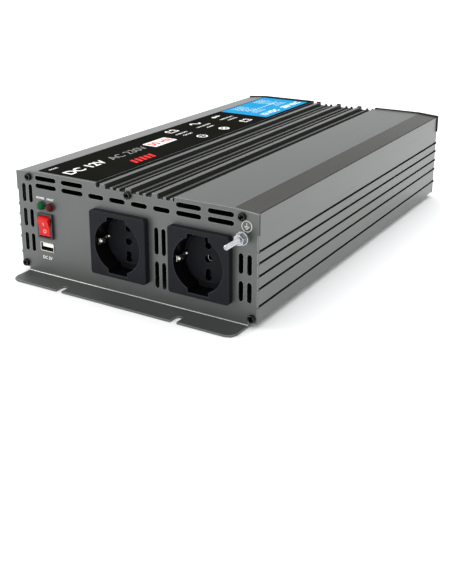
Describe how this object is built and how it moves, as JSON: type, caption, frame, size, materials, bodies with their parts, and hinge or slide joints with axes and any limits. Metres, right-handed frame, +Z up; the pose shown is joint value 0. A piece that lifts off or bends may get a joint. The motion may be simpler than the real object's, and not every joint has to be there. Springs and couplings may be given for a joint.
{
  "type": "power inverter",
  "caption": "Long flat finned aluminium box with folded foot plates, earthed outlets, rocker switch, USB port and lamps in front, fans and cable clamps behind.",
  "frame": {"origin": "on the ground plane (underside of the foot flanges), under the middle of the case", "axes": "+Z up, -Y out of the front plate that holds the outlets, +X to the right as seen from the front"},
  "size_m": [0.207, 0.4017, 0.0817],
  "materials": {
    "anodised_aluminium": "fine satin, dark grey anodised",
    "floor_steel": "satin grey paint",
    "black_screw": "black oxide",
    "label_film": "printed film",
    "socket_plastic": "spark-textured thermoset",
    "switch_plastic": "polished",
    "rocker_plastic": "translucent red, polished",
    "red_plastic": "moulded",
    "black_plastic": "moulded",
    "white_plastic": "moulded",
    "spring_metal": "nickel plated",
    "zinc_steel": "bright zinc plated",
    "brass": "turned",
    "green_lens": "tinted clear epoxy",
    "red_lens": "tinted clear epoxy",
    "board": "solder-masked laminate",
    "raw_aluminium": "milled",
    "ferrite": "sintered",
    "capacitor_sleeve": "shrink sleeve",
    "copper": "enamelled wire"
  },
  "bodies": {
    "case": {"case_extrusion": "anodised_aluminium", "floor_plate": "floor_steel", "front_plate": "anodised_aluminium", "rear_plate": "anodised_aluminium", "front_plate_screw_1": "black_screw", "front_plate_screw_2": "black_screw", "front_plate_screw_3": "black_screw", "front_plate_screw_4": "black_screw", "front_plate_screw_5": "black_screw", "rear_plate_screw_1": "black_screw", "rear_plate_screw_2": "black_screw", "rear_plate_screw_3": "black_screw", "rear_plate_screw_4": "black_screw", "rear_plate_screw_5": "black_screw", "top_label": "label_film", "socket_left": "socket_plastic", "socket_left_earth_clip": "spring_metal", "socket_left_line_contact": "brass", "socket_left_neutral_contact": "brass", "socket_left_rear_cover": "socket_plastic", "socket_right": "socket_plastic", "socket_right_earth_clip": "spring_metal", "socket_right_line_contact": "brass", "socket_right_neutral_contact": "brass", "socket_right_rear_cover": "socket_plastic", "switch_housing": "switch_plastic", "usb_shell": "spring_metal", "usb_tongue": "white_plastic", "lamp_power": "green_lens", "lamp_fault": "red_lens", "earth_stud": "zinc_steel", "earth_washer": "zinc_steel", "earth_nut_inner": "zinc_steel", "earth_nut_outer": "zinc_steel", "clamp_insulator_positive": "red_plastic", "clamp_insulator_negative": "black_plastic", "clamp_positive_lower": "brass", "clamp_screw_positive_lower": "black_screw", "clamp_positive_upper": "brass", "clamp_screw_positive_upper": "black_screw", "clamp_negative_lower": "brass", "clamp_screw_negative_lower": "black_screw", "clamp_negative_upper": "brass", "clamp_screw_negative_upper": "black_screw", "fan_left_frame": "black_plastic", "fan_right_frame": "black_plastic", "main_board": "board", "board_spacer_left": "black_plastic", "board_spacer_right": "black_plastic", "heat_spreader_left": "raw_aluminium", "heat_spreader_right": "raw_aluminium", "transformer_1": "ferrite", "transformer_2": "ferrite", "capacitor_1": "capacitor_sleeve", "capacitor_2": "capacitor_sleeve", "output_choke": "copper"},
    "rocker": {"power_rocker": "rocker_plastic"},
    "fan_left": {"fan_left_rotor": "black_plastic"},
    "fan_right": {"fan_right_rotor": "black_plastic"}
  },
  "joints": [
    {"name": "rocker_tilt", "type": "hinge", "parent": "case", "child": "rocker", "pos_m": [-0.0766, -0.1746, 0.0402], "axis": [-1, 0, 0], "range_deg": [0, 20]},
    {"name": "fan_left_spin", "type": "hinge", "parent": "case", "child": "fan_left", "pos_m": [-0.066, 0.162, 0.0412], "axis": [0, 1, 0], "continuous": true},
    {"name": "fan_right_spin", "type": "hinge", "parent": "case", "child": "fan_right", "pos_m": [0.066, 0.162, 0.0412], "axis": [0, 1, 0], "continuous": true}
  ]
}
